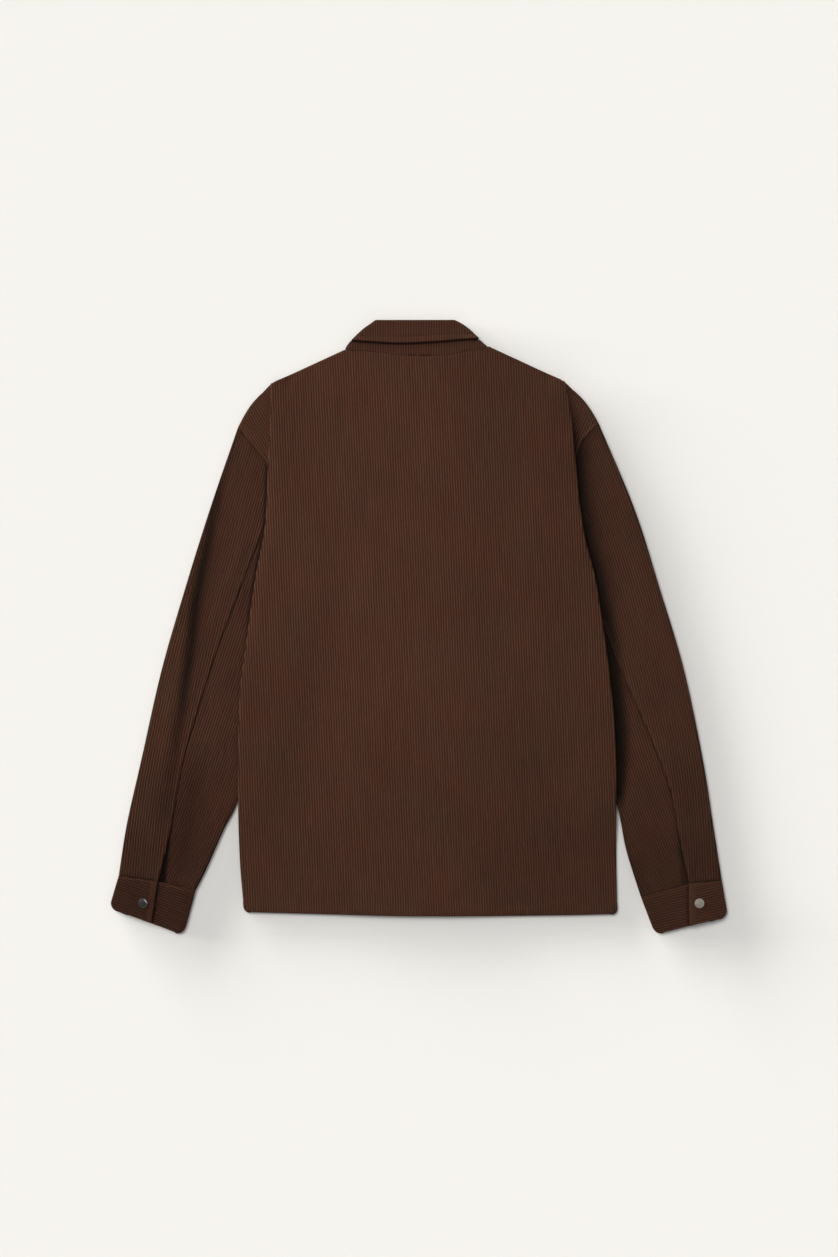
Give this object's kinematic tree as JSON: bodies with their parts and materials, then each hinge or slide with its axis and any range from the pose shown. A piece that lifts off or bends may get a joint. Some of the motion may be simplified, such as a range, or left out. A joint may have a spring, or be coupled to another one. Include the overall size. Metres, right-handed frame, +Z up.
{
  "type": "velvet overshirt",
  "caption": "Wide-wale corduroy overshirt with a turned-down collar and snap cuffs, laid flat with its back up and its sleeves down along its sides.",
  "frame": {"origin": "On the surface the shirt lies on, under the middle of its bounding box.", "axes": "+X to the wearer's right, +Y from the hem to the collar, +Z up off the surface, out of the shirt's back."},
  "size_m": [0.7996, 0.796, 0.0103],
  "materials": {
    "corduroy": "dark brown cotton corduroy, about 8 wales to the inch, soft brushed pile",
    "snap_metal": "dark gunmetal, satin"
  },
  "bodies": {
    "root": {"back": "corduroy", "front_left": "corduroy", "front_right": "corduroy", "front_placket": "corduroy", "sleeve_upper_left": "corduroy", "sleeve_under_left": "corduroy", "sleeve_upper_right": "corduroy", "sleeve_under_right": "corduroy", "cuff_left": "corduroy", "cuff_right": "corduroy", "collar_stand": "corduroy", "collar_leaf": "corduroy", "cuff_snap_left": "snap_metal", "cuff_snap_right": "snap_metal", "front_snap_1": "snap_metal", "front_snap_2": "snap_metal", "front_snap_3": "snap_metal", "front_snap_4": "snap_metal", "front_snap_5": "snap_metal", "front_snap_6": "snap_metal"}
  },
  "joints": []
}
